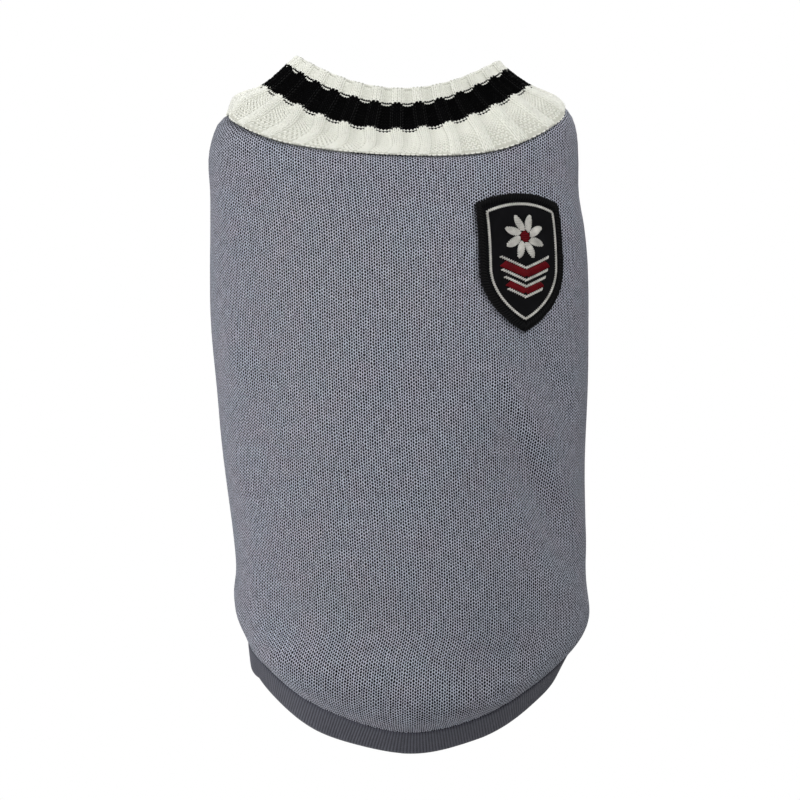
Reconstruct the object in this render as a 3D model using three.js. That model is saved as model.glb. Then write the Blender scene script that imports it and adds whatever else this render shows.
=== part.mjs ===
// Dog sweater: a sleeveless knitted vest for a small dog, hollow and filled out as it is when worn.
// It has a back panel, a chest panel, a wide ribbed collar, two armhole bands, a ribbed hem band and a badge.
// Sizes are in millimetres. The neck points up (+Z), the back faces -Y and the wearer's right side is at +X.
// The origin is the centre of the neck seam, where the wearer's neck holds the sweater.
import * as THREE from "three";

// Cloth
const seamGap = 0.3;
const bodyWall = 2;
const collarWall = 1.8; // under the ribs
const hemWall = 1.8; // under the ribs
const armholeWall = 2.2;

// The body's cross-sections, from above the shoulders down to below the hem.
// shift moves a section in X, back and belly are its depths each way from the axis, and fullness 2 is an
// ellipse.
const bodySections = [
  { z: 16, halfWidth: 64, shift: 0, back: 36, belly: 33, fullness: 2.1 },
  { z: 7, halfWidth: 72.4, shift: 0, back: 41, belly: 38, fullness: 2.3 },
  { z: -2, halfWidth: 77.5, shift: -1.6, back: 43.5, belly: 41, fullness: 2.4 },
  { z: -14, halfWidth: 79.5, shift: -2.6, back: 46, belly: 43, fullness: 2.4 },
  { z: -30, halfWidth: 79.3, shift: -1.9, back: 49.5, belly: 47, fullness: 2.4 },
  { z: -45, halfWidth: 80.6, shift: -0.6, back: 52.5, belly: 50.5, fullness: 2.35 },
  { z: -61, halfWidth: 81.3, shift: 0, back: 55, belly: 53.5, fullness: 2.3 },
  { z: -92, halfWidth: 80.8, shift: 0.5, back: 59, belly: 56.5, fullness: 2.2 },
  { z: -123, halfWidth: 78.9, shift: 1.6, back: 61, belly: 55, fullness: 2.15 },
  { z: -154, halfWidth: 77, shift: 3, back: 61.5, belly: 51.5, fullness: 2.1 },
  { z: -185, halfWidth: 75.4, shift: 4.9, back: 60, belly: 48, fullness: 2.1 },
  { z: -207, halfWidth: 74.8, shift: 5.7, back: 57, belly: 46.5, fullness: 2.1 },
  { z: -217, halfWidth: 73.8, shift: 5.6, back: 54.7, belly: 46, fullness: 2.1 },
  { z: -228, halfWidth: 73.5, shift: 2.9, back: 52, belly: 45, fullness: 2.1 },
  { z: -246, halfWidth: 71, shift: 1.6, back: 46.5, belly: 43, fullness: 2.1 },
  { z: -266, halfWidth: 65, shift: 2.4, back: 38.5, belly: 40, fullness: 2.1 },
];
const hemRoll = 15; // the height over which the cloth rolls in at the hem seam
const neckTuck = 0.8;
const neckRoll = 5;

// Sizes every 30 degrees round the body, from the back's middle towards +X: the heights of the neck and
// hem seams, how far the cloth rolls in at the hem seam, and the width of the hem band.
const ringStep = 30;
const neckHeights = [-14.6, -13, 0, 9, -6, -20, -26, -21, -7.5, 5.4, 0.2, -10.2];
const hemHeights = [-260.2, -253.9, -236.5, -221, -205, -190, -182, -188, -202, -217, -230, -250];
const hemTucks = [4, 4, 2.5, 1.5, 2, 4, 4, 4, 4, 2.8, 2, 2.5];
const hemWidths = [13.8, 15.2, 14.5, 12, 12, 12, 12, 12, 11, 9, 11.5, 14.5];

// Armholes: each is centred on a side seam and cut half in the back and half in the chest panel.
const seamAngle = 128;
const armhole = { down: 0.375, halfHeight: 35, halfWidth: 26.5, bandWidth: 10, flare: 2.6 };

// The collar's rings, from the seam to the top edge. up is the distance along the cloth, back and front are
// depths, the heights are at the back's middle, the sides and the front's middle, and tilt lowers the +X side.
const collarRings = [
  {
    up: 6, halfWidth: 67.8, shift: -0.4, back: 42.3, front: 40.6,
    zBack: -10.6, zSide: 11, zFront: -22, tilt: -1,
  },
  {
    up: 17.5, halfWidth: 57.3, shift: -1.1, back: 34.2, front: 34,
    zBack: -3.6, zSide: 16.6, zFront: -13, tilt: 0,
  },
  {
    up: 30.5, halfWidth: 46.6, shift: -0.8, back: 28.2, front: 28.6,
    zBack: 8, zSide: 24.8, zFront: -2, tilt: 1,
  },
  {
    up: 37, halfWidth: 43.3, shift: -0.5, back: 26.4, front: 27,
    zBack: 14, zSide: 28, zFront: 4, tilt: 1,
  },
];
const collarRibs = { count: 28, depth: 1.2, proud: 0.9, profile: [0.5, 1, 1, 0.5, 0, 0] };
const collarOuterRows = [0, 2.5, 9, 18, 28, 37];
const collarInnerRows = [37, 18, 0];

// The hem band turns in from the body's edge and is knitted in single ribs.
const hemBand = { turn: 5, inset: 1.3, ribs: 196, ribDepth: 0.6 };

// The badge: a stiff embroidered shield on the back, with a raised corded edge.
const badge = { angle: 38.5, z: -58.5, halfWidth: 20.5, height: 57, lift: 0.3 };
const badgeRings = [
  { scale: 0.25, lift: 0 },
  { scale: 0.5, lift: 0 },
  { scale: 0.75, lift: 0 },
  { scale: 1, lift: 0 },
  { scale: 1, lift: 0.9 },
  { scale: 0.965, lift: 1.6 },
  { scale: 0.9, lift: 1.6 },
  { scale: 0.875, lift: 1.1 },
  { scale: 0.6, lift: 1.1 },
  { scale: 0.3, lift: 1.1 },
];

// Materials, one for each finish
const cloth = (color) => new THREE.MeshStandardMaterial({ color, roughness: 0.95, metalness: 0 });
const greyKnit = cloth("#7d808a");
const greyRib = cloth("#6c6d76");
const creamRib = cloth("#e3e4d8");
const badgeFelt = cloth("#15151a");

// A smooth curve through a table's rows: the value of a column at a place along the key column.
function smoothColumn(table, key, column, at) {
  const last = table.length - 1;
  const rising = table[last][key] > table[0][key] ? 1 : -1;
  let row = 0;
  while (row < last - 1 && (at - table[row + 1][key]) * rising > 0) row += 1;
  const slope = (i) => {
    const low = table[Math.max(i - 1, 0)];
    const high = table[Math.min(i + 1, last)];
    return (high[column] - low[column]) / (high[key] - low[key]);
  };
  const start = table[row];
  const end = table[row + 1];
  const span = end[key] - start[key];
  const t = THREE.MathUtils.clamp((at - start[key]) / span, 0, 1);
  const [t2, t3] = [t * t, t * t * t];
  return (
    (2 * t3 - 3 * t2 + 1) * start[column] +
    (t3 - 2 * t2 + t) * span * slope(row) +
    (3 * t2 - 2 * t3) * end[column] +
    (t3 - t2) * span * slope(row + 1)
  );
}

// A size from one of the tables round the body, at any angle, smooth all the way round.
function aroundRing(sizes, angle) {
  const place = THREE.MathUtils.euclideanModulo(angle, 360) / ringStep;
  const i = Math.floor(place);
  const t = place - i;
  const at = (k) => sizes[(i + k + sizes.length) % sizes.length];
  const [before, here, next, after] = [at(-1), at(0), at(1), at(2)];
  return (
    here +
    0.5 * t * (next - before) +
    t * t * (before - 2.5 * here + 2 * next - 0.5 * after) +
    t * t * t * (1.5 * (here - next) + 0.5 * (after - before))
  );
}

// A point on the body's outside. down runs from 0 at the neck seam to 1 at the hem seam.
function bodyPoint(angle, down) {
  const top = aroundRing(neckHeights, angle);
  const bottom = aroundRing(hemHeights, angle);
  const z = THREE.MathUtils.lerp(top, bottom, down);
  const column = (name) => smoothColumn(bodySections, "z", name, z);
  const turn = THREE.MathUtils.degToRad(angle);
  const [sine, cosine] = [Math.sin(turn), Math.cos(turn)];
  const fullness = column("fullness");
  const reach = (Math.abs(sine) ** fullness + Math.abs(cosine) ** fullness) ** (-1 / fullness);
  const rollIn = (distance, height, depth) => depth * Math.max(0, 1 - distance / height) ** 2;
  const tuck = rollIn(z - bottom, hemRoll, aroundRing(hemTucks, angle)) + rollIn(top - z, neckRoll, neckTuck);
  const depth = column(cosine > 0 ? "back" : "belly");
  return new THREE.Vector3(
    column("shift") + (column("halfWidth") - tuck) * reach * sine,
    -(depth - tuck) * reach * cosine,
    z,
  );
}

// The outward normal and the downward direction of a surface given as point(angle, down).
function surfaceFrame(point, angle, down) {
  const angleStep = 0.05;
  const downStep = 0.0005;
  const [high, low] = [Math.max(down - downStep, 0), Math.min(down + downStep, 1)];
  const sideways = point(angle + angleStep, down).sub(point(angle - angleStep, down)).normalize();
  const downwards = point(angle, low).sub(point(angle, high)).normalize();
  return { normal: new THREE.Vector3().crossVectors(downwards, sideways).normalize(), downwards };
}

// The body's outside moved along its normal: out for a positive lift, in for a negative one.
function bodyOffset(angle, down, lift) {
  const { normal } = surfaceFrame(bodyPoint, angle, down);
  return bodyPoint(angle, down).addScaledVector(normal, lift);
}

// Degrees round the body for a distance along it, at one place.
function degreesFor(distance, angle, down) {
  return distance / bodyPoint(angle + 0.5, down).distanceTo(bodyPoint(angle - 0.5, down));
}

// The share of the way down for a distance, at one angle.
function downFor(distance, angle) {
  return distance / bodyPoint(angle, 0.4).distanceTo(bodyPoint(angle, 0.41)) / 100;
}

// Angles that divide a closed ring into equal lengths.
function evenAngles(ring, count) {
  const fine = 1440;
  const lengths = [0];
  for (let i = 1; i <= fine; i += 1) {
    const step = ring((i * 360) / fine).distanceTo(ring(((i - 1) * 360) / fine));
    lengths.push(lengths[i - 1] + step);
  }
  const angles = [];
  let place = 0;
  for (let k = 0; k < count; k += 1) {
    const wanted = (lengths[fine] * k) / count;
    while (lengths[place + 1] < wanted) place += 1;
    const part = (wanted - lengths[place]) / (lengths[place + 1] - lengths[place]);
    angles.push(((place + part) * 360) / fine);
  }
  return angles;
}

// A closed geometry from vertices and quads, each quad in order round its outside.
function geometryFrom(points, quads) {
  const index = quads.flatMap(([a, b, c, d]) => (c === d ? [a, b, c] : [a, b, c, a, c, d]));
  const geometry = new THREE.BufferGeometry().setFromPoints(points);
  geometry.setIndex(index);
  geometry.computeVertexNormals();
  return geometry;
}

// An open sheet of cloth with a thickness: outside and inside points on one grid, and walls round its edge.
function panelGeometry(rows, columns, outside, inside) {
  const points = [];
  for (const side of [outside, inside])
    for (let i = 0; i <= rows; i += 1) for (let j = 0; j <= columns; j += 1) points.push(side(i, j));
  const width = columns + 1;
  const inner = (rows + 1) * width;
  const quads = [];
  for (let i = 0; i < rows; i += 1) {
    for (let j = 0; j < columns; j += 1) {
      const corner = i * width + j;
      quads.push([corner, corner + width, corner + width + 1, corner + 1]);
      quads.push([corner + 1, corner + width + 1, corner + width, corner].map((k) => k + inner));
    }
  }
  const edge = (a, b) => quads.push([a, b, b + inner, a + inner]);
  for (let j = 0; j < columns; j += 1) {
    edge(j, j + 1);
    edge(rows * width + j + 1, rows * width + j);
  }
  for (let i = 0; i < rows; i += 1) {
    edge((i + 1) * width, i * width);
    edge(i * width + columns, (i + 1) * width + columns);
  }
  return geometryFrom(points, quads);
}

// A closed tube of cloth: the points round the wall's section, at each step round the ring.
function ringGeometry(steps, profileLength, pointAt) {
  const points = [];
  for (let i = 0; i < steps; i += 1) for (let j = 0; j < profileLength; j += 1) points.push(pointAt(i, j));
  const quads = [];
  for (let i = 0; i < steps; i += 1) {
    for (let j = 0; j < profileLength; j += 1) {
      const [here, next] = [i * profileLength, ((i + 1) % steps) * profileLength];
      const after = (j + 1) % profileLength;
      quads.push([here + j, next + j, next + after, here + after]);
    }
  }
  return geometryFrom(points, quads);
}

function piece(name, geometry, material) {
  const mesh = new THREE.Mesh(geometry, material);
  mesh.name = name;
  return mesh;
}

// Rows of the two body panels: few above the armholes, closer round their curve and at the hem's roll.
const armholeHalf = {
  down: downFor(armhole.halfHeight, seamAngle),
  degrees: degreesFor(armhole.halfWidth, seamAngle, armhole.down),
};
function bodyRows() {
  const [top, bottom] = [armhole.down - armholeHalf.down, armhole.down + armholeHalf.down];
  const curveSteps = 12;
  const rows = [0, 0.012, 0.03, 0.09, 0.14].filter((row) => row < top);
  for (let k = 0; k <= curveSteps; k += 1)
    rows.push(armhole.down - armholeHalf.down * Math.cos((Math.PI * k) / curveSteps));
  const lower = [0.63, 0.7, 0.77, 0.83, 0.88, 0.92, 0.945, 0.965, 0.982, 0.993, 1];
  return rows.concat(lower.filter((row) => row > bottom));
}

// How far the armhole moves a panel's columns at a row, in degrees: its own curve at the edge (nearness 1),
// and a longer, softer one for the columns inside.
function armholeCut(down, nearness) {
  const share = Math.abs(down - armhole.down) / armholeHalf.down;
  const edge = share < 1 ? Math.sqrt(1 - share * share) : 0;
  const inside = share < 1.7 ? Math.cos((share / 1.7) * (Math.PI / 2)) ** 2 : 0;
  return armholeHalf.degrees * THREE.MathUtils.lerp(inside, edge, nearness ** 12);
}

// A panel between two angles that the armholes cut into from both sides.
function bodyPanel(name, middle, halfAngle, columns) {
  const rows = bodyRows();
  const spread = Math.min(3, (0.7 * halfAngle) / armholeHalf.degrees);
  const angleAt = (i, j) => {
    const gap = degreesFor(seamGap / 2, seamAngle, rows[i]);
    const across = (2 * j) / columns - 1;
    const nearness = Math.abs(across);
    const cut = armholeCut(rows[i], nearness) * Math.sign(across) * nearness ** spread;
    return middle + (halfAngle - gap) * across - cut;
  };
  const at = (lift) => (i, j) => bodyOffset(angleAt(i, j), rows[i], lift);
  return piece(name, panelGeometry(rows.length - 1, columns, at(0), at(-bodyWall)), greyKnit);
}

// The collar's outside at an angle and a distance up from the seam, before its ribs are raised.
function collarPoint(angle, up) {
  const turn = THREE.MathUtils.degToRad(angle);
  const [sine, cosine] = [Math.sin(turn), Math.cos(turn)];
  const { normal, downwards } = surfaceFrame(bodyPoint, angle, 0);
  const seam = bodyPoint(angle, 0);
  seam.addScaledVector(normal, collarRibs.proud).addScaledVector(downwards, -seamGap);
  const places = collarRings.map((ring) => {
    const zMiddle = cosine > 0 ? ring.zBack : ring.zFront;
    const depth = cosine > 0 ? ring.back : ring.front;
    const z = ring.zSide + (zMiddle - ring.zSide) * cosine ** 2 - ring.tilt * sine;
    return { up: ring.up, x: ring.shift + ring.halfWidth * sine, y: -depth * cosine, z };
  });
  const line = [{ up: 0, x: seam.x, y: seam.y, z: seam.z }, ...places];
  return new THREE.Vector3(
    smoothColumn(line, "up", "x", up),
    smoothColumn(line, "up", "y", up),
    smoothColumn(line, "up", "z", up),
  );
}

// The normal turns from the body's own at the seam to the collar's within the first millimetres.
function collarNormal(angle, up) {
  const height = collarRings[collarRings.length - 1].up;
  const own = surfaceFrame((a, down) => collarPoint(a, height * (1 - down)), angle, 1 - up / height).normal;
  const seam = surfaceFrame(bodyPoint, angle, 0).normal;
  return seam.lerp(own, Math.min(1, up / collarRings[0].up)).normalize();
}

function makeCollar() {
  const steps = collarRibs.count * collarRibs.profile.length;
  const angles = evenAngles((angle) => collarPoint(angle, collarRings[1].up), steps);
  const profile = [
    ...collarOuterRows.map((up) => ({ up, inside: false })),
    ...collarInnerRows.map((up) => ({ up, inside: true })),
  ];
  const pointAt = (i, j) => {
    const { up, inside } = profile[j];
    const base = collarPoint(angles[i], up);
    const fade = THREE.MathUtils.smoothstep(up, -8, 14);
    const rib = collarRibs.depth * fade * collarRibs.profile[i % collarRibs.profile.length];
    const lift = inside ? -collarWall : rib;
    return base.addScaledVector(collarNormal(angles[i], up), lift);
  };
  return piece("collar", ringGeometry(steps, profile.length, pointAt), creamRib);
}

// The hem band leaves the body's edge a seam's gap below it, square to the seam, and turns further in.
function makeHemBand() {
  const steps = hemBand.ribs * 2;
  const angles = evenAngles((angle) => bodyPoint(angle, 1), steps);
  const turn = THREE.MathUtils.degToRad(hemBand.turn);
  const profile = [
    { row: 1, inside: false },
    { row: 0, inside: false },
    { row: 0, inside: true },
    { row: 1, inside: true },
  ];
  const pointAt = (i, j) => {
    const { row, inside } = profile[j];
    const { normal } = surfaceFrame(bodyPoint, angles[i], 1);
    const seamwards = bodyPoint(angles[i] + 1, 1).sub(bodyPoint(angles[i] - 1, 1));
    const downwards = new THREE.Vector3().crossVectors(seamwards, normal).normalize();
    const along = downwards.clone().multiplyScalar(Math.cos(turn)).addScaledVector(normal, -Math.sin(turn));
    const outward = normal.clone().multiplyScalar(Math.cos(turn)).addScaledVector(downwards, Math.sin(turn));
    const face = row === 0 ? normal : outward;
    const rib = i % 2 === 0 ? hemBand.ribDepth : 0;
    return bodyPoint(angles[i], 1)
      .addScaledVector(downwards, seamGap)
      .addScaledVector(normal, -hemBand.inset)
      .addScaledVector(along, row * aroundRing(hemWidths, angles[i]))
      .addScaledVector(face, inside ? -hemWall : rib);
  };
  return piece("hem_band", ringGeometry(steps, profile.length, pointAt), greyRib);
}

// An armhole band lies in the body's surface inside the armhole, and flares out at its free edge.
function makeArmholeBand(name, side) {
  const steps = 48;
  const outerRows = [0, 0.35, 0.7, 1];
  const innerRows = [1, 0.5, 0];
  const profile = [...outerRows.map((row) => [row, 0]), ...innerRows.map((row) => [row, -armholeWall])];
  const pointAt = (i, j) => {
    const [row, lift] = profile[j];
    const inward = seamGap + row * armhole.bandWidth;
    const turn = (2 * Math.PI * i) / steps;
    const across = armholeHalf.degrees * (1 - inward / armhole.halfWidth);
    const tall = armholeHalf.down * (1 - inward / armhole.halfHeight);
    const angle = side * (seamAngle + across * Math.sin(turn));
    const down = armhole.down + tall * Math.cos(turn);
    return bodyOffset(angle, down, lift + armhole.flare * row * row);
  };
  const forward = (i, j) => pointAt(side > 0 ? i : steps - i, j);
  return piece(name, ringGeometry(steps, profile.length, forward), greyRib);
}

// The badge's outline: a shield with a shallow top edge, straight sides and a pointed foot.
function shieldOutline(count) {
  const { halfWidth, height } = badge;
  const [top, shoulder, foot] = [height * 0.47, height * 0.4, -height * 0.53];
  const shield = new THREE.Shape();
  shield.moveTo(0, top);
  shield.quadraticCurveTo(halfWidth * 0.5, top, halfWidth, shoulder);
  shield.lineTo(halfWidth, -height * 0.08);
  shield.bezierCurveTo(halfWidth, -height * 0.3, halfWidth * 0.45, foot * 0.86, 0, foot);
  shield.bezierCurveTo(-halfWidth * 0.45, foot * 0.86, -halfWidth, -height * 0.3, -halfWidth, -height * 0.08);
  shield.lineTo(-halfWidth, shoulder);
  shield.quadraticCurveTo(-halfWidth * 0.5, top, 0, top);
  return shield.getSpacedPoints(count).slice(0, count);
}

function makeBadge() {
  const outline = shieldOutline(56);
  const turnFor = (x, angle) => degreesFor(x, angle, downAtHeight(angle, badge.z));
  const place = (x, y, lift) => {
    const halfWay = badge.angle + turnFor(x / 2, badge.angle);
    const angle = badge.angle + turnFor(x, halfWay);
    return bodyOffset(angle, downAtHeight(angle, badge.z + y), badge.lift + lift);
  };
  const points = [place(0, 0, badgeRings[0].lift)];
  for (const ring of badgeRings)
    for (const corner of outline) points.push(place(corner.x * ring.scale, corner.y * ring.scale, ring.lift));
  points.push(place(0, 0, badgeRings[badgeRings.length - 1].lift));
  const count = outline.length;
  const quads = [];
  for (let i = 0; i < count; i += 1) {
    const next = (i + 1) % count;
    quads.push([0, 1 + i, 1 + next, 1 + next]);
    for (let k = 0; k < badgeRings.length - 1; k += 1) {
      const [low, high] = [1 + k * count, 1 + (k + 1) * count];
      quads.push([low + i, high + i, high + next, low + next]);
    }
    const last = 1 + (badgeRings.length - 1) * count;
    quads.push([last + i, points.length - 1, last + next, last + next]);
  }
  return piece("badge", geometryFrom(points, quads), badgeFelt);
}

// The share of the way down at which the body's surface reaches a height, at one angle.
function downAtHeight(angle, z) {
  const [top, bottom] = [aroundRing(neckHeights, angle), aroundRing(hemHeights, angle)];
  return (top - z) / (top - bottom);
}

const sweater = new THREE.Group();
sweater.add(
  bodyPanel("back_panel", 0, seamAngle, 34),
  bodyPanel("chest_panel", 180, 180 - seamAngle, 14),
  makeCollar(),
  makeArmholeBand("armhole_band_right", 1),
  makeArmholeBand("armhole_band_left", -1),
  makeHemBand(),
  makeBadge(),
);

export default sweater;
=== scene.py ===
import math

import bpy
import numpy as np
from mathutils import Matrix


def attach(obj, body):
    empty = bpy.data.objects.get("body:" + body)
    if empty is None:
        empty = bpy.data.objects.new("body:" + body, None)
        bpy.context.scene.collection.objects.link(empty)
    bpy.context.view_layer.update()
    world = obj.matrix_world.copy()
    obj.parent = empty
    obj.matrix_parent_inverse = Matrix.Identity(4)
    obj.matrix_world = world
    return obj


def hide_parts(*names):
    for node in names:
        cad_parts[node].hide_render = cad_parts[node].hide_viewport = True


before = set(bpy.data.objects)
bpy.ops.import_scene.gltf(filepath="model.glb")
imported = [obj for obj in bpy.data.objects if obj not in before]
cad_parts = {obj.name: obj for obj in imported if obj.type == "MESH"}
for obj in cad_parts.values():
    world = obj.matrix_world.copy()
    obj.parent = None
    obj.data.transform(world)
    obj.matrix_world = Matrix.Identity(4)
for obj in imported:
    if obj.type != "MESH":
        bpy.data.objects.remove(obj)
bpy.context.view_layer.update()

# Sizes are in millimetres, as in the CAD; meshes are written in metres.
# Angles are degrees round the body, from the middle of the back towards +X.
metre = 0.001

# The body's cross-sections: height, half width, shift in X, depth to the back, depth to the belly, fullness.
bodySections = np.array([
    (16, 64, 0, 36, 33, 2.1), (7, 72.4, 0, 41, 38, 2.3), (-2, 77.5, -1.6, 43.5, 41, 2.4),
    (-14, 79.5, -2.6, 46, 43, 2.4), (-30, 79.3, -1.9, 49.5, 47, 2.4), (-45, 80.6, -0.6, 52.5, 50.5, 2.35),
    (-61, 81.3, 0, 55, 53.5, 2.3), (-92, 80.8, 0.5, 59, 56.5, 2.2), (-123, 78.9, 1.6, 61, 55, 2.15),
    (-154, 77, 3, 61.5, 51.5, 2.1), (-185, 75.4, 4.9, 60, 48, 2.1), (-207, 74.8, 5.7, 57, 46.5, 2.1),
    (-217, 73.8, 5.6, 54.7, 46, 2.1), (-228, 73.5, 2.9, 52, 45, 2.1), (-246, 71, 1.6, 46.5, 43, 2.1),
    (-266, 65, 2.4, 38.5, 40, 2.1),
])
# every 30 degrees round: heights of the neck and hem seams, the cloth's roll at the hem, the hem band's width
neckHeights = np.array([-14.6, -13, 0, 9, -6, -20, -26, -21, -7.5, 5.4, 0.2, -10.2])
hemHeights = np.array([-260.2, -253.9, -236.5, -221, -205, -190, -182, -188, -202, -217, -230, -250])
hemTucks = np.array([4, 4, 2.5, 1.5, 2, 4, 4, 4, 4, 2.8, 2, 2.5])
hemWidths = np.array([13.8, 15.2, 14.5, 12, 12, 12, 12, 12, 11, 9, 11.5, 14.5])
body = {"seamGap": 0.3, "wall": 2.0, "hemRoll": 15, "neckTuck": 0.8, "neckRoll": 5}


def hermite(t, span, start, startSlope, end, endSlope):
    return ((2 * t**3 - 3 * t**2 + 1) * start + (t**3 - 2 * t**2 + t) * span * startSlope
            + (3 * t**2 - 2 * t**3) * end + (t**3 - t**2) * span * endSlope)


def curveThrough(keys, values, at):
    # the smooth curve of a table's column, flat beyond both ends
    if keys[0] > keys[-1]:
        keys, values = keys[::-1], values[::-1]
    slopes = np.empty(len(keys))
    slopes[1:-1] = (values[2:] - values[:-2]) / (keys[2:] - keys[:-2])
    slopes[0] = (values[1] - values[0]) / (keys[1] - keys[0])
    slopes[-1] = (values[-1] - values[-2]) / (keys[-1] - keys[-2])
    row = np.clip(np.searchsorted(keys, at, side="right") - 1, 0, len(keys) - 2)
    span = keys[row + 1] - keys[row]
    t = np.clip((at - keys[row]) / span, 0, 1)
    return hermite(t, span, values[row], slopes[row], values[row + 1], slopes[row + 1])


def aroundRing(sizes, angle):
    place = np.mod(angle, 360) / 30
    i = np.floor(place).astype(int)
    t = place - i
    before, here, following, after = (sizes[(i + k) % 12] for k in (-1, 0, 1, 2))
    return (here + 0.5 * t * (following - before)
            + t**2 * (before - 2.5 * here + 2 * following - 0.5 * after)
            + t**3 * (1.5 * (here - following) + 0.5 * (after - before)))


def sectionAt(z):
    return [curveThrough(bodySections[:, 0], bodySections[:, k], z) for k in range(1, 6)]


def roundOval(angle, section):
    # a point on a cross-section; its fullness is the power of its superellipse
    halfWidth, shift, back, belly, fullness = section
    sine, cosine = np.sin(np.radians(angle)), np.cos(np.radians(angle))
    reach = (np.abs(sine) ** fullness + np.abs(cosine) ** fullness) ** (-1 / fullness)
    return shift + halfWidth * reach * sine, -np.where(cosine > 0, back, belly) * reach * cosine


def bodyPoint(angle, down):
    # down runs from 0 at the neck seam to 1 at the hem seam
    angle, down = np.broadcast_arrays(np.asarray(angle, float), np.asarray(down, float))
    top, bottom = aroundRing(neckHeights, angle), aroundRing(hemHeights, angle)
    z = top + (bottom - top) * down
    tuck = (aroundRing(hemTucks, angle) * np.maximum(0, 1 - (z - bottom) / body["hemRoll"]) ** 2
            + body["neckTuck"] * np.maximum(0, 1 - (top - z) / body["neckRoll"]) ** 2)
    halfWidth, shift, back, belly, fullness = sectionAt(z)
    x, y = roundOval(angle, (halfWidth - tuck, shift, back - tuck, belly - tuck, fullness))
    return np.stack([x, y, z], axis=-1)


def unit(vectors):
    return vectors / np.linalg.norm(vectors, axis=-1, keepdims=True)


def surfaceFrame(point, angle, down):
    high, low = np.maximum(down - 0.0005, 0), np.minimum(down + 0.0005, 1)
    sideways = unit(point(angle + 0.05, down) - point(angle - 0.05, down))
    downwards = unit(point(angle, low) - point(angle, high))
    return unit(np.cross(downwards, sideways)), downwards


def bodyOffset(angle, down, lift):
    normal, _ = surfaceFrame(bodyPoint, angle, down)
    return bodyPoint(angle, down) + normal * np.asarray(lift)[..., None]


def degreesFor(distance, angle, down):
    return distance / np.linalg.norm(bodyPoint(angle + 0.5, down) - bodyPoint(angle - 0.5, down), axis=-1)


def downFor(distance, angle):
    return distance / np.linalg.norm(bodyPoint(angle, 0.4) - bodyPoint(angle, 0.41), axis=-1) / 100


def lengthsAlong(path):
    return np.concatenate([[0], np.cumsum(np.linalg.norm(np.diff(path, axis=0), axis=1))])


def evenAngles(ring, count):
    fine = np.linspace(0, 360, 2881)
    lengths = lengthsAlong(ring(fine))
    return np.interp(lengths[-1] * np.arange(count) / count, lengths, fine)


def smoothStep(low, high, at):
    t = np.clip((at - low) / (high - low), 0, 1)
    return t * t * (3 - 2 * t)


def linearColour(code):
    # sRGB hex to the linear values that the shaders take
    parts = [int(code[k:k + 2], 16) / 255 for k in (1, 3, 5)]
    return tuple(p / 12.92 if p <= 0.04045 else ((p + 0.055) / 1.055) ** 2.4 for p in parts) + (1.0,)


def fillInputs(tree, node, inputs):
    # inputs by name or in their order, each a constant or a socket to link
    for key, value in inputs.items() if isinstance(inputs, dict) else enumerate(inputs):
        if isinstance(value, bpy.types.NodeSocket):
            tree.links.new(value, node.inputs[key])
        else:
            node.inputs[key].default_value = value


def addNode(tree, kind, inputs=(), out=0, **settings):
    # gives back the output asked for, or all of them
    node = tree.nodes.new(kind)
    for name, value in settings.items():
        setattr(node, name, value)
    fillInputs(tree, node, inputs)
    return node.outputs if out is None else node.outputs[out]


def cosineWave(tree, value, waves=1.0):
    turn = addNode(tree, "ShaderNodeMath", [value, 2 * math.pi * waves], operation="MULTIPLY")
    return addNode(tree, "ShaderNodeMath", [turn], operation="COSINE")


def newTree(name, sockets, output):
    tree = bpy.data.node_groups.new(name, "GeometryNodeTree")
    for kind, titles in sockets.items():
        for title in titles:
            tree.interface.new_socket(title, in_out="INPUT", socket_type="NodeSocket" + kind)
    tree.interface.new_socket(output, in_out="OUTPUT", socket_type="NodeSocketGeometry")
    return tree, addNode(tree, "NodeGroupInput", out=None)


def layOn(tree, surface, uv, lift):
    # the place on a surface at a spot of its UV map, lifted the way the surface faces there
    source, facing = (addNode(tree, "GeometryNodeInputNamedAttribute", {"Name": name},
                              data_type="FLOAT_VECTOR") for name in ("cloth", "facing"))
    spot = addNode(tree, "GeometryNodeInputPosition")
    place, normal = (addNode(tree, "GeometryNodeSampleUVSurface",
                             {"Mesh": surface, "Value": value, "Source UV Map": source, "Sample UV": uv},
                             data_type="FLOAT_VECTOR") for value in (spot, facing))
    lifted = addNode(tree, "ShaderNodeVectorMath", {0: normal, "Scale": lift}, operation="SCALE")
    return addNode(tree, "ShaderNodeVectorMath", [place, lifted], operation="ADD")


def yarnTubes(tree, lines, sides, radius):
    curve = addNode(tree, "GeometryNodeMeshToCurve", {"Mesh": lines})
    ring = addNode(tree, "GeometryNodeCurvePrimitiveCircle", {"Resolution": sides, "Radius": radius})
    return addNode(tree, "GeometryNodeCurveToMesh", {"Curve": curve, "Profile Curve": ring,
                                                     "Fill Caps": True})


def closeTree(tree, geometry, material, output):
    smooth = addNode(tree, "GeometryNodeSetShadeSmooth", {"Geometry": geometry})
    plain = addNode(tree, "GeometryNodeRealizeInstances", {"Geometry": smooth})
    done = addNode(tree, "GeometryNodeSetMaterial", {"Geometry": plain, "Material": material})
    addNode(tree, "NodeGroupOutput", {output: done}, out=None)
    return tree


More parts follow.
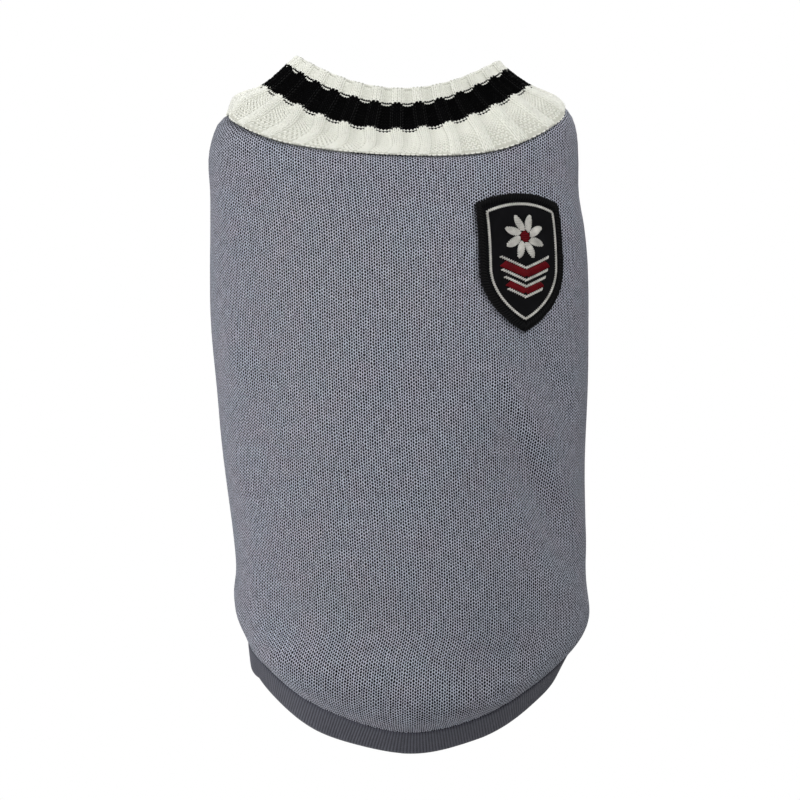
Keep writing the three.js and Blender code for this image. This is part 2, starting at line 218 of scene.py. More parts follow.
def meshObject(name, points, faces, edges=(), uv=None, facing=None, materials=(), faceMaterials=None):
    mesh = bpy.data.meshes.new(name)
    points = np.asarray(points, float).reshape(-1, 3) * metre
    mesh.from_pydata(points.tolist(), list(edges), [list(f) for f in faces])
    if uv is not None:
        layer = mesh.uv_layers.new(name="cloth")
        corners = np.empty(len(mesh.loops), dtype=np.int32)
        mesh.loops.foreach_get("vertex_index", corners)
        layer.data.foreach_set("uv", np.asarray(uv, np.float32).reshape(-1, 2)[corners].ravel())
    if facing is not None:
        layer = mesh.attributes.new("facing", "FLOAT_VECTOR", "POINT")
        layer.data.foreach_set("vector", np.asarray(facing, np.float32).ravel())
    for material in materials:
        mesh.materials.append(material)
    if faceMaterials is not None:
        mesh.polygons.foreach_set("material_index", np.asarray(faceMaterials, np.int32))
    if len(mesh.polygons):
        mesh.polygons.foreach_set("use_smooth", [True] * len(mesh.polygons))
    mesh.update()
    thing = bpy.data.objects.new(name, mesh)
    bpy.context.scene.collection.objects.link(thing)
    return thing


def gridFaces(rows, columns, start=0, flip=False):
    # quads of a grid of points whose rows run down and whose columns run towards +X
    width = columns + 1
    i, j = np.meshgrid(np.arange(rows), np.arange(columns), indexing="ij")
    here = i * width + j + start
    quads = np.stack([here, here + width, here + width + 1, here + 1], axis=-1).reshape(-1, 4)
    return quads[:, ::-1] if flip else quads


def panelFaces(rows, columns):
    # outside, inside and edge walls of an open sheet
    width, inner = columns + 1, (rows + 1) * (columns + 1)
    outside, inside = gridFaces(rows, columns), gridFaces(rows, columns, inner, flip=True)
    edges = []
    for j in range(columns):
        edges += [(j, j + 1), (rows * width + j + 1, rows * width + j)]
    for i in range(rows):
        edges += [((i + 1) * width, i * width), (i * width + columns, (i + 1) * width + columns)]
    walls = np.array([(a, b, b + inner, a + inner) for a, b in edges])
    kinds = np.concatenate([np.zeros(len(outside)), np.ones(len(inside)), np.zeros(len(walls))])
    return np.concatenate([outside, inside, walls]), kinds


def ringFaces(steps, length):
    # a closed tube: the points round the wall's section, at each step round the ring
    i, j = np.meshgrid(np.arange(steps), np.arange(length), indexing="ij")
    here, following, after = i * length, ((i + 1) % steps) * length, (j + 1) % length
    return np.stack([here + j, following + j, following + after, here + after], axis=-1).reshape(-1, 4)


def runModifier(thing, tree, values):
    # gives the tree its sizes by socket identifier, then keeps the result as a plain mesh
    modifier = thing.modifiers.new("make", "NODES")
    modifier.node_group = tree
    for item in tree.interface.items_tree:
        if item.item_type == "SOCKET" and item.in_out == "INPUT" and item.name in values:
            modifier[item.identifier] = values[item.name]
    evaluated = thing.evaluated_get(bpy.context.evaluated_depsgraph_get())
    mesh = bpy.data.meshes.new_from_object(evaluated)
    name, old = thing.name, thing.data
    bpy.data.objects.remove(thing)
    bpy.data.meshes.remove(old)
    made = bpy.data.objects.new(name, mesh)
    mesh.name = name
    bpy.context.scene.collection.objects.link(made)
    return made


def finishPiece(piece, nodes):
    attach(piece, "root")
    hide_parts(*nodes)
    return piece


def newMaterial(name):
    material = bpy.data.materials.new(name)
    material.use_nodes = True
    shader = material.node_tree.nodes["Principled BSDF"]
    return material, material.node_tree, shader


# how strongly the upright strips, the lattice of holes and the legs show on each face of the knit, as painted
# shade
knit = {
    "courseMm": 1.33, "faceShares": (0.24, -0.42, 0.05), "reverseShares": (0.0, -0.3, 0.35), "level": 0.5,
    "columnStretch": (1.1, 0.3, 1.0), "wander": (0.45, 1.1, 0.0), "uneven": 0.24,
    "holeFrom": 0.11, "holeTo": 0.61, "bumpMm": 0.3, "fibreMm": 0.22,
}


def knitMaterial(name, light, dark, reverse=False, sharp=1.0, holeShare=1.0):
    # Acrylic yarn in stockinette: rows of slanting legs with a hole where the legs of a stitch part,
    # matt, with short fibres that soften its edges. The holes and the partings of the legs are coloured
    # dark as painted shade. The UV map counts stitches: u in wales, v in courses.
    material, tree, shader = newMaterial(name)
    place = addNode(tree, "ShaderNodeUVMap", uv_map="cloth")
    # each column's stitches sit a little higher or lower than their neighbours'
    drawn = addNode(tree, "ShaderNodeVectorMath", [place, knit["columnStretch"]], operation="MULTIPLY")
    wander = addNode(tree, "ShaderNodeTexNoise", {"Vector": drawn, "Scale": 0.8, "Detail": 2.0}, out="Color")
    away = addNode(tree, "ShaderNodeVectorMath", [wander, (0.5, 0.5, 0.5)], operation="SUBTRACT")
    shaken = addNode(tree, "ShaderNodeVectorMath", [away, knit["wander"], place], operation="MULTIPLY_ADD")
    u, v, _ = addNode(tree, "ShaderNodeSeparateXYZ", [shaken], out=None)
    # holes in a centred lattice: a hole where both waves are far apart, bright legs a quarter wale each side
    strips, downWave = cosineWave(tree, u, 2.0), cosineWave(tree, v)
    lattice = addNode(tree, "ShaderNodeMath", [cosineWave(tree, u), downWave], operation="MULTIPLY")
    # the slant of the legs, too fine to show from afar
    half = addNode(tree, "ShaderNodeMath", [u, 0.5], operation="PINGPONG")
    slant = addNode(tree, "ShaderNodeMath", [half, 3.0, v], operation="MULTIPLY_ADD")
    legs = downWave if reverse else cosineWave(tree, slant)
    # some stitches are pulled tighter than others
    chance = addNode(tree, "ShaderNodeTexNoise", {"Vector": drawn, "Scale": 1.0, "Detail": 2.0}, out="Fac")
    chance = addNode(tree, "ShaderNodeMath", [chance, 0.5], operation="SUBTRACT")
    deep = knit["level"]
    shares = (*knit["reverseShares" if reverse else "faceShares"], knit["uneven"])
    for wave, share in zip((strips, lattice, legs, chance), shares):
        deep = addNode(tree, "ShaderNodeMath", [wave, share, deep], operation="MULTIPLY_ADD")
    deep = addNode(tree, "ShaderNodeMapRange", {"Value": deep, "From Min": knit["holeFrom"],
                                                "From Max": knit["holeTo"]}, interpolation_type="SMOOTHSTEP")
    hole = addNode(tree, "ShaderNodeMath", [deep, sharp], operation="POWER")
    spot = addNode(tree, "ShaderNodeTexCoord", out="Object")
    fine = addNode(tree, "ShaderNodeTexNoise", {"Vector": spot, "Scale": 1000 / knit["fibreMm"] / 8,
                                                "Detail": 3.0, "Roughness": 0.65}, out="Fac")
    broad = addNode(tree, "ShaderNodeTexNoise", {"Vector": spot, "Scale": 70.0, "Detail": 3.0}, out="Fac")
    broad = addNode(tree, "ShaderNodeMapRange", {"Value": broad, "From Min": 0.35, "From Max": 0.65})
    heather = addNode(tree, "ShaderNodeMapRange", {"Value": fine, "From Min": 0.3, "From Max": 0.7,
                                                   "To Min": 0.94, "To Max": 1.06})
    tint = addNode(tree, "ShaderNodeMix", {0: broad, 6: linearColour(light[0]), 7: linearColour(light[1])},
                   out=2, data_type="RGBA")
    # painted shade: the holes and partings are mixed towards the dark colour, for the shade inside them
    share = addNode(tree, "ShaderNodeMath", [hole, holeShare], operation="MULTIPLY")
    colour = addNode(tree, "ShaderNodeMix", {0: share, 6: tint, 7: linearColour(dark)}, out=2,
                     data_type="RGBA")
    shaded = addNode(tree, "ShaderNodeVectorMath", {0: colour, "Scale": heather}, operation="SCALE")
    height = addNode(tree, "ShaderNodeMath", [hole, -1.0, 1.0], operation="MULTIPLY_ADD")
    rough = addNode(tree, "ShaderNodeMath", [fine, 0.3, height], operation="MULTIPLY_ADD")
    bump = addNode(tree, "ShaderNodeBump", {"Height": rough, "Strength": 0.7,
                                            "Distance": knit["bumpMm"] * metre})
    fillInputs(tree, shader, {"Base Color": shaded, "Normal": bump, "Roughness": 0.9, "Sheen Weight": 0.15,
                              "Sheen Roughness": 0.5, "Sheen Tint": linearColour("#c8cad2"),
                              "Specular IOR Level": 0.25})
    return material


def yarnMaterial(name, light, shade, roughness=0.85, sheen=0.3, gloss=0.25, fibreMm=0.25, sunk=None):
    # Spun acrylic yarn or embroidery thread: fine fibres run over it, so its colour and surface are a
    # little uneven
    material, tree, shader = newMaterial(name)
    spot = addNode(tree, "ShaderNodeTexCoord", out="Object")
    fine = addNode(tree, "ShaderNodeTexNoise", {"Vector": spot, "Scale": 1000 / fibreMm / 8, "Detail": 3.0,
                                                "Roughness": 0.6}, out="Fac")
    colour = addNode(tree, "ShaderNodeMix", {0: fine, 6: linearColour(shade), 7: linearColour(light)},
                     out=2, data_type="RGBA")
    if sunk:
        # painted shade: the deeper parts of the loops are coloured darker, by their rise
        rise = addNode(tree, "ShaderNodeAttribute", out="Fac", attribute_name="rise")
        high = addNode(tree, "ShaderNodeMapRange", {"Value": rise, "From Min": -0.8, "From Max": 0.5})
        colour = addNode(tree, "ShaderNodeMix", {0: high, 6: linearColour(sunk), 7: colour}, out=2,
                         data_type="RGBA")
    bump = addNode(tree, "ShaderNodeBump", {"Height": fine, "Strength": 0.5, "Distance": 0.08 * metre})
    fillInputs(tree, shader, {"Base Color": colour, "Normal": bump, "Roughness": roughness,
                              "Sheen Weight": sheen, "Sheen Roughness": 0.5, "Specular IOR Level": gloss})
    return material


greyKnit = knitMaterial("acrylicStockinetteGrey", ("#c1c7d6", "#c5c5d4"), "#010101")
# the inside face: the same grey yarn, coloured darker as painted shade for the garment's inside
greyPurl = knitMaterial("acrylicStockinetteGreyReverse", ("#8a8d97", "#8a878f"), "#303238", reverse=True,
                        sharp=0.8, holeShare=0.8)
# the cream yarn's sunk colour is painted shade on the deeper parts of its loops
creamYarn = yarnMaterial("acrylicYarnCream", "#ebebe3", "#dfe0d6", sunk="#c2c3b8")
blackYarn = yarnMaterial("acrylicYarnBlack", "#060607", "#020202", sheen=0.0, gloss=0.03)
print("materials made")

panels = {
    "seamAngle": 128, "armholeDown": 0.375, "armholeHalfHeight": 35, "armholeHalfWidth": 26.5,
    "backColumns": 110, "chestColumns": 46, "armholeRows": 34, "seamDip": 0.5, "seamDipWidth": 3.5,
    "puckerDepth": 0.45, "foldDepth": 1.7, "hemSwell": 2.1, "hemSwellFrom": 13, "hemSwellWidth": 9,
    "hemDip": 1.5, "hemDipWidth": 2.6, "neckDip": 1.1, "neckDipWidth": 2.0,
    "edgeFade": 6, "hemFade": 7, "neckFade": 5,
}
# height and width of a wale: the knit is drawn in a little towards the hem
walePitch = np.array([(-260, 2.0), (-200, 2.0), (-120, 2.03), (-60, 2.06), (-10, 2.13)])
armholeHalf = {
    "down": float(downFor(panels["armholeHalfHeight"], panels["seamAngle"])),
    "degrees": float(degreesFor(panels["armholeHalfWidth"], panels["seamAngle"], panels["armholeDown"])),
}

# Soft folds on the back and the chest: start and end (distance round from the back's middle, height),
# width and depth, positive for a ridge.
folds = [
    ((37, -98), (70, -147), 6, 1.5), ((56, -92), (84, -130), 7, -1.4), ((46, -136), (80, -188), 10, -2.8),
    ((60, -190), (92, -208), 9, 0.9), ((78, -150), (100, -182), 7, 0.8), ((-72, -188), (-54, -208), 8, -0.6),
    ((-86, -94), (-70, -112), 9, 0.8), ((-90, -144), (-72, -162), 9, 0.9), ((-52, -203), (14, -214), 8, -0.8),
    ((-68, -226), (34, -245), 11, 2.4), ((20, -150), (44, -176), 12, -0.5),
    ((-70, -60), (-58, -120), 14, -0.35),
    ((-30, -70), (10, -110), 18, 0.3), ((60, -26), (92, -44), 9, 0.5), ((-92, -30), (-60, -48), 9, 0.45),
    ((-20, -36), (30, -42), 9, -0.3),
    ((150, -96), (206, -118), 9, 0.8), ((160, -120), (214, -140), 10, -0.7),
    ((186, -150), (220, -168), 8, 0.6),
    ((-150, -100), (-196, -122), 8, -0.7), ((-158, -128), (-205, -150), 10, 0.7),
    ((174, -40), (206, -58), 8, 0.5),
    ((-176, -46), (-204, -66), 8, -0.5),
]


def makeArcGrid(rows=95, columns=361):
    # distance round the body from the back's middle, at even heights and angles
    angle = np.linspace(-180, 180, columns)
    z = np.linspace(bodySections[0, 0], bodySections[-1, 0], rows)
    x, y = roundOval(angle, [part[:, None] for part in sectionAt(z)])
    steps = np.hypot(np.diff(x, axis=1), np.diff(y, axis=1))
    lengths = np.concatenate([np.zeros((rows, 1)), np.cumsum(steps, axis=1)], axis=1)
    return lengths - lengths[:, [columns // 2]]


arcGrid = makeArcGrid()


def arcLengths(angle, z):
    top, bottom = bodySections[0, 0], bodySections[-1, 0]
    column = (np.clip(angle, -180, 180) + 180) / 360 * (arcGrid.shape[1] - 1)
    row = (top - z) / (top - bottom) * (arcGrid.shape[0] - 1)
    j = np.clip(np.floor(column).astype(int), 0, arcGrid.shape[1] - 2)
    i = np.clip(np.floor(row).astype(int), 0, arcGrid.shape[0] - 2)
    s, t = column - j, np.clip(row - i, 0, 1)
    return ((arcGrid[i, j] * (1 - s) + arcGrid[i, j + 1] * s) * (1 - t)
            + (arcGrid[i + 1, j] * (1 - s) + arcGrid[i + 1, j + 1] * s) * t)


def foldLift(arc, z):
    lift = np.zeros_like(arc)
    for (a0, z0), (a1, z1), width, depth in folds:
        dx, dz = a1 - a0, z1 - z0
        t = np.clip(((arc - a0) * dx + (z - z0) * dz) / (dx * dx + dz * dz), -0.25, 1.25)
        away = np.hypot(arc - a0 - t * dx, z - z0 - t * dz)
        along = np.sin(np.pi * np.clip((t + 0.25) / 1.5, 0, 1)) ** 1.5
        lift += depth * along * np.exp(-((away / width) ** 2))
    return lift


def softWaves(arc, z):
    # the slight unevenness of cloth that nothing stretches
    return (0.22 * np.sin(arc / 17 + 1.3 + 0.6 * np.sin(z / 31)) * np.sin(z / 23 + 0.4)
            + 0.16 * np.sin(arc / 9.5 - z / 14 + 2.1) + 0.12 * np.sin(arc / 13 + z / 8.5 + 0.7))


def puckers(fromHem, fromNeck, arc):
    # short shallow pulls where the hem band and the collar draw the cloth in
    wave = np.sin(arc / 3.1 + 0.9 * np.sin(arc / 11)) * (0.6 + 0.4 * np.sin(arc / 19 + 1))
    near = np.exp(-((fromHem - 9) / 7) ** 2) + 0.6 * np.exp(-((fromNeck - 7) / 5) ** 2)
    return panels["puckerDepth"] * wave * near


def armholeCut(down, nearness):
    share = np.abs(down - panels["armholeDown"]) / armholeHalf["down"]
    edge = np.sqrt(np.clip(1 - share * share, 0, 1))
    inside = np.where(share < 1.7, np.cos(np.minimum(share, 1.7) / 1.7 * (math.pi / 2)) ** 2, 0)
    blend = nearness**12
    return armholeHalf["degrees"] * (inside * (1 - blend) + edge * blend)


def panelRows():
    top = panels["armholeDown"] - armholeHalf["down"]
    bottom = panels["armholeDown"] + armholeHalf["down"]
    count = panels["armholeRows"]
    middle = panels["armholeDown"] - armholeHalf["down"] * np.cos(np.pi * np.arange(count + 1) / count)
    upper = np.linspace(0, 1, 12)[:-1] ** 1.2 * top
    lower = bottom + (1 - bottom) * np.sin(np.linspace(0, 1, 46)[1:] * math.pi / 2) ** 0.9
    return np.concatenate([upper, middle, lower])


def makePanel(name, middle, halfAngle, columns, materials):
    rows = panelRows()[:, None]
    across = np.linspace(-1, 1, columns + 1)[None, :]
    spread = min(3, 0.7 * halfAngle / armholeHalf["degrees"])
    nearness = np.abs(across)
    gap = degreesFor(body["seamGap"] / 2, panels["seamAngle"], rows)
    cut = armholeCut(rows, nearness) * np.sign(across) * nearness**spread
    angle = middle + (halfAngle - gap) * across - cut
    down = np.broadcast_to(rows, angle.shape)
    base = bodyPoint(angle, down)
    signed = np.mod(angle + 180, 360) - 180
    z = base[..., 2]
    arc = arcLengths(signed, z)
    perDegree = np.linalg.norm(bodyPoint(angle + 0.5, down) - bodyPoint(angle - 0.5, down), axis=-1)
    edgeWay = (1 - nearness) * halfAngle * perDegree
    dip = panels["seamDip"] * np.exp(-((edgeWay / panels["seamDipWidth"]) ** 2))
    fromHem, fromNeck = z - aroundRing(hemHeights, angle), aroundRing(neckHeights, angle) - z
    lift = panels["foldDepth"] * foldLift(arc, z) + softWaves(arc, z) + puckers(fromHem, fromNeck, arc)
    swell = np.exp(-((fromHem - panels["hemSwellFrom"]) / panels["hemSwellWidth"]) ** 2)
    lift += panels["hemSwell"] * swell * (0.8 + 0.2 * np.sin(arc / 23 + 0.5))
    fade = (smoothStep(0, panels["edgeFade"], edgeWay) * smoothStep(0, panels["hemFade"], fromHem)
            * smoothStep(0, panels["neckFade"], fromNeck))
    lift = lift * fade - dip - panels["hemDip"] * np.exp(-((fromHem / panels["hemDipWidth"]) ** 2))
    lift -= panels["neckDip"] * np.exp(-((fromNeck / panels["neckDipWidth"]) ** 2))
    outside = bodyOffset(angle, down, lift)
    inside = bodyOffset(angle, down, np.minimum(lift - 0.5, np.maximum(lift, -0.3) - body["wall"] + 0.2))
    # the knit's columns: counted from the back's middle, or from the chest's middle on the chest panel
    if middle == 180:
        full = arcLengths(np.full_like(z, 180.0), z) - arcLengths(np.full_like(z, -180.0), z)
        arc = np.where(signed > 0, arc - full / 2, arc + full / 2)
    pitch = curveThrough(walePitch[:, 0], walePitch[:, 1], z)
    middlePoint = bodyPoint(np.full_like(z, float(middle)), down)
    # courses run level, so they are counted by height down the middle line
    zMiddle = middlePoint[:, 0, 2]
    beyond = np.where(z > zMiddle[0], zMiddle[0] - z, 0) + np.where(z < zMiddle[-1], zMiddle[-1] - z, 0)
    v = np.interp(-z, -zMiddle, lengthsAlong(middlePoint[:, 0])) + beyond
    uv = np.stack([arc / pitch, -v / knit["courseMm"]], axis=-1)
    faces, kinds = panelFaces(len(rows) - 1, columns)
    return meshObject(name, np.stack([outside, inside]), faces, uv=np.stack([uv, uv]), materials=materials,
                      faceMaterials=kinds)


backCloth = makePanel("backCloth", 0, panels["seamAngle"], panels["backColumns"], (greyKnit, greyPurl))
chestCloth = makePanel("chestCloth", 180, 180 - panels["seamAngle"], panels["chestColumns"],
                       (greyKnit, greyPurl))
finishPiece(backCloth, ["back_panel"])
finishPiece(chestCloth, ["chest_panel"])
print("body panels made")

collar = {
    "wales": 196, "knitWales": 3, "ribWales": 7, "courses": 26, "lowCream": 12, "black": 9, "height": 37.0,
    "middleDepth": 0.85, "coreWall": 0.5, "coreRows": 27, "proud": 0.9, "ribDepth": 1.25, "ribLean": 4.5,
    "courseBend": 0.08, "spike": 1.0, "spikeLiftMm": 0.3, "loopSwing": 0.17, "loopReach": 0.85,
    "loopDepthMm": 0.45, "loopPoints": 10, "yarnMm": 0.43, "yarnSides": 4, "unevenMm": 0.2,
    "leftBulge": (2.4, 0.0, 2.0), "leanTo": 17.5, "turns": 168,
    "knitShare": ((0, 0.34), (9, 0.38), (20, 0.48), (30, 0.54), (37, 0.57)),
}
# up, half width, shift, depth to the back, to the front, height at the back, sides, front, tilt
collarRings = np.array([
    (6, 67.8, -0.4, 42.3, 40.6, -10.6, 11, -22, -1), (17.5, 57.3, -1.1, 34.2, 34, -3.6, 16.6, -13, 0),
    (30.5, 46.6, -0.8, 28.2, 28.6, 8, 24.8, -2, 1), (37, 43.3, -0.5, 26.4, 27, 14, 28, 4, 1),
])


def collarLine(angle, up):
    angle, up = np.broadcast_arrays(np.asarray(angle, float), np.asarray(up, float))
    sine, cosine = np.sin(np.radians(angle)), np.cos(np.radians(angle))
    normal, downwards = surfaceFrame(bodyPoint, angle, np.zeros_like(angle))
    seam = bodyPoint(angle, np.zeros_like(angle)) + normal * collar["proud"] - downwards * body["seamGap"]
    stops = [seam]
    # the wearer's left side bulges a little above the seam
    left = np.maximum(0, -sine)
    bulge = np.stack([-left, 0 * sine, left], axis=-1) ** 3 * collar["leftBulge"]
    for _, halfWidth, shift, back, front, zBack, zSide, zFront, tilt in collarRings:
        zMiddle, depth = np.where(cosine > 0, zBack, zFront), np.where(cosine > 0, back, front)
        z = zSide + (zMiddle - zSide) * cosine**2 - tilt * sine
        stops.append(np.stack([shift + halfWidth * sine, -depth * cosine, z], axis=-1))
    stops[1] = stops[1] + bulge
    keys = np.concatenate([[0], collarRings[:, 0]])
    slopes = [(stops[1] - stops[0]) / (keys[1] - keys[0])]
    slopes += [(stops[k + 1] - stops[k - 1]) / (keys[k + 1] - keys[k - 1]) for k in range(1, 4)]
    slopes.append((stops[4] - stops[3]) / (keys[4] - keys[3]))
    made = np.zeros(angle.shape + (3,))
    row = np.clip(np.searchsorted(keys, up, side="right") - 1, 0, 3)
    for k in range(4):
        span = keys[k + 1] - keys[k]
        t = np.clip((up - keys[k]) / span, 0, 1)[..., None]
        part = hermite(t, span, stops[k], slopes[k], stops[k + 1], slopes[k + 1])
        made = np.where((row == k)[..., None], part, made)
    beyond = np.where(up < 0, up, np.where(up > collar["height"], up - collar["height"], 0))[..., None]
    return made + beyond * unit(np.where((up < 0)[..., None], slopes[0], slopes[4]))


def collarNormal(angle, up):
    inside = np.clip(up, 0.05, collar["height"] - 0.05)
    sideways = collarLine(angle + 0.05, inside) - collarLine(angle - 0.05, inside)
    upwards = collarLine(angle, inside + 0.05) - collarLine(angle, inside - 0.05)
    own = unit(np.cross(-upwards, sideways))
    seam, _ = surfaceFrame(bodyPoint, angle, np.zeros_like(angle))
    share = np.clip(up / collarRings[0, 0], 0, 1)[..., None]
    return unit(seam * (1 - share) + own * share)


collarTurns = evenAngles(lambda angle: collarLine(angle, collar["leanTo"]), collar["turns"])
collarTurns = np.append(collarTurns, 360.0)


def collarAngle(wale, up):
    # raised knit wales then sunk purl wales; the knit ones lie closer together low down
    knitCount, ribCount = collar["knitWales"], collar["ribWales"]
    share = np.interp(up, *zip(*collar["knitShare"]))
    place = np.mod(wale, ribCount)
    within = np.where(place < knitCount, place / knitCount * share,
                      share + (place - knitCount) / (ribCount - knitCount) * (1 - share))
    turns = collar["turns"]
    even = (np.floor(wale / ribCount) + within - share / 2) * (turns * ribCount / collar["wales"])
    turn = np.interp(np.mod(even, turns), np.arange(turns + 1), collarTurns) + 360 * np.floor(even / turns)
    # the ribs leave the seam square to it
    return turn - collar["ribLean"] * np.sin(np.radians(2 * turn)) * np.clip(1 - up / collar["leanTo"], 0, 1)


def ribRelief(wale, up):
    # knit columns stand out and purl columns lie back, more so away from the seam
    knitCount, ribCount = collar["knitWales"], collar["ribWales"]
    fromMiddle = np.abs(np.mod(wale - knitCount / 2 + ribCount / 2, ribCount) - ribCount / 2)
    wave = np.clip((knitCount / 2 - fromMiddle) / 0.9, -1, 1)
    return collar["ribDepth"] * (0.5 + 0.5 * np.sin(wave * math.pi / 2)) * smoothStep(-8, 14, up)


def collarSurface(wale, up, lift):
    angle = collarAngle(wale, np.clip(up, 0, collar["height"]))
    normal = collarNormal(angle, up)
    return collarLine(angle, up) + normal * (ribRelief(wale, up) + lift)[..., None], normal


def loopTree():
    # One stitch is a bent line; it is repeated over the wales and courses, laid on the surface through its
    # UV map, joined into whole courses and given the yarn's thickness.
    tree, given = newTree("ribLoops", {
        "Geometry": ["Surface"], "Material": ["Yarn"],
        "Int": ["Wales", "First course", "Courses", "All courses", "Loop points", "Yarn sides"],
        "Float": ["Knit wales", "Rib wales", "Course bend", "Spike", "Spike lift", "Loop swing", "Loop reach",
                  "Loop depth", "Yarn radius", "Uneven"],
    }, "Loops")
    # one stitch
    count = addNode(tree, "ShaderNodeMath", [given["Loop points"], 1.0], operation="ADD")
    line = addNode(tree, "GeometryNodeMeshLine", {"Count": count, "Offset": (0.0, 0.0, 0.0)})
    index = addNode(tree, "GeometryNodeInputIndex")
    along = addNode(tree, "ShaderNodeMath", [index, given["Loop points"]], operation="DIVIDE")
    double = addNode(tree, "ShaderNodeMath", [along, 4 * math.pi], operation="MULTIPLY")
    sway = addNode(tree, "ShaderNodeMath", [double], operation="SINE")
    x = addNode(tree, "ShaderNodeMath", [sway, given["Loop swing"], along], operation="MULTIPLY_ADD")
    lower = addNode(tree, "ShaderNodeMath", [given["Loop reach"], -1.0], operation="MULTIPLY")
    y = addNode(tree, "ShaderNodeMath", [cosineWave(tree, along), lower], operation="MULTIPLY")
    z = addNode(tree, "ShaderNodeMath", [double], operation="COSINE")
    bent = addNode(tree, "ShaderNodeCombineXYZ", [x, y, z])
    stitch = addNode(tree, "GeometryNodeSetPosition", {"Geometry": line, "Position": bent})
    # its places: wale i, course j
    total = addNode(tree, "ShaderNodeMath", [given["Wales"], given["Courses"]], operation="MULTIPLY")
    places = addNode(tree, "GeometryNodeMeshLine", {"Count": total, "Offset": (0.0, 0.0, 0.0)})
    ratio = addNode(tree, "ShaderNodeMath", [index, 0.5], operation="ADD")
    ratio = addNode(tree, "ShaderNodeMath", [ratio, given["Wales"]], operation="DIVIDE")
    course = addNode(tree, "ShaderNodeMath", [ratio], operation="FLOOR")
    skipped = addNode(tree, "ShaderNodeMath", [course, given["Wales"]], operation="MULTIPLY")
    wale = addNode(tree, "ShaderNodeMath", [index, skipped], operation="SUBTRACT")
    at = addNode(tree, "ShaderNodeCombineXYZ", [wale, course, 0.0])
    places = addNode(tree, "GeometryNodeSetPosition", {"Geometry": places, "Position": at})
    rows = addNode(tree, "GeometryNodeInstanceOnPoints", {"Points": places, "Instance": stitch})
    rows = addNode(tree, "GeometryNodeRealizeInstances", {"Geometry": rows})
    # front or back of the cloth: knit stitches dip where purl stitches rise
    spot = addNode(tree, "GeometryNodeInputPosition")
    x, y, z = addNode(tree, "ShaderNodeSeparateXYZ", [spot], out=None)
    middle = addNode(tree, "ShaderNodeMath", [given["Knit wales"], 0.5], operation="MULTIPLY")
    reach = addNode(tree, "ShaderNodeMath", [given["Rib wales"], 0.5], operation="MULTIPLY")
    back = addNode(tree, "ShaderNodeMath", [reach, -1.0], operation="MULTIPLY")
    away = addNode(tree, "ShaderNodeMath", [x, middle], operation="SUBTRACT")
    away = addNode(tree, "ShaderNodeMath", [away, reach, back], operation="WRAP")
    away = addNode(tree, "ShaderNodeMath", [away], operation="ABSOLUTE")
    ribWave = addNode(tree, "ShaderNodeMath", [middle, away], operation="SUBTRACT")
    steep = addNode(tree, "ShaderNodeMath", [ribWave, 3.0], operation="MULTIPLY")
    side = addNode(tree, "ShaderNodeClamp", {"Value": steep, "Min": -1.0, "Max": 1.0})
    dip = addNode(tree, "ShaderNodeMath", [z, side], operation="MULTIPLY")
    rise = addNode(tree, "ShaderNodeMath", [dip, -1.0], operation="MULTIPLY")
    lift = addNode(tree, "ShaderNodeMath", [rise, given["Loop depth"]], operation="MULTIPLY")
    # the rise is kept on the yarn for the cream yarn's painted shade on the deeper parts of the loops
    rows = addNode(tree, "GeometryNodeStoreNamedAttribute", {"Geometry": rows, "Name": "rise", "Value": rise},
                   data_type="FLOAT", domain="POINT")
    # the courses bend up at the raised ribs and down between them, less so at the collar's two edges
    row = addNode(tree, "ShaderNodeMath", [y, given["First course"]], operation="ADD")
    low = addNode(tree, "ShaderNodeMath", [row, 0.25], operation="MULTIPLY")
    low = addNode(tree, "ShaderNodeClamp", {"Value": low, "Min": 0.3})
    high = addNode(tree, "ShaderNodeMath", [given["All courses"], row], operation="SUBTRACT")
    high = addNode(tree, "ShaderNodeMath", [high, 0.25], operation="MULTIPLY")
    high = addNode(tree, "ShaderNodeClamp", {"Value": high})
    bend = ribWave
    for share in (given["Course bend"], low, high):
        bend = addNode(tree, "ShaderNodeMath", [bend, share], operation="MULTIPLY")
    # where the yarn changes, the last loops of the raised ribs reach up into the next colour
    tall = addNode(tree, "ShaderNodeMath", [given["Courses"], 1.0], operation="SUBTRACT")
    over = addNode(tree, "ShaderNodeMath", [y, tall], operation="SUBTRACT")
    over = addNode(tree, "ShaderNodeClamp", {"Value": over})
    raised = addNode(tree, "ShaderNodeClamp", {"Value": side})
    for share in (raised, given["Spike"]):
        over = addNode(tree, "ShaderNodeMath", [over, share], operation="MULTIPLY")
    lift = addNode(tree, "ShaderNodeMath", [over, given["Spike lift"], lift], operation="MULTIPLY_ADD")
    bend = addNode(tree, "ShaderNodeMath", [bend, over], operation="ADD")
    # laid on the surface: its UV map has one spare wale and course on each side
    v = addNode(tree, "ShaderNodeMath", [row, bend], operation="ADD")
    parts = []
    for part, spare, title in ((x, 1.0, "Wales"), (v, 1.5, "All courses")):
        inside = addNode(tree, "ShaderNodeMath", [part, spare], operation="ADD")
        whole = addNode(tree, "ShaderNodeMath", [given[title], 2.0], operation="ADD")
        parts.append(addNode(tree, "ShaderNodeMath", [inside, whole], operation="DIVIDE"))
    uv = addNode(tree, "ShaderNodeCombineXYZ", [*parts, 0.0])
    laid = addNode(tree, "GeometryNodeSetPosition",
                   {"Geometry": rows, "Position": layOn(tree, given["Surface"], uv, lift)})
    laid = addNode(tree, "GeometryNodeMergeByDistance", {"Geometry": laid, "Distance": 0.00001})
    # hand of the yarn: no two loops are quite alike
    rough = addNode(tree, "ShaderNodeTexNoise", {"Scale": 700.0, "Detail": 1.0}, out="Color")
    rough = addNode(tree, "ShaderNodeVectorMath", [rough, (0.5, 0.5, 0.5)], operation="SUBTRACT")
    rough = addNode(tree, "ShaderNodeVectorMath", {0: rough, "Scale": given["Uneven"]}, operation="SCALE")
    laid = addNode(tree, "GeometryNodeSetPosition", {"Geometry": laid, "Offset": rough})
    tubes = yarnTubes(tree, laid, given["Yarn sides"], given["Yarn radius"])
    return closeTree(tree, tubes, given["Yarn"], "Loops")


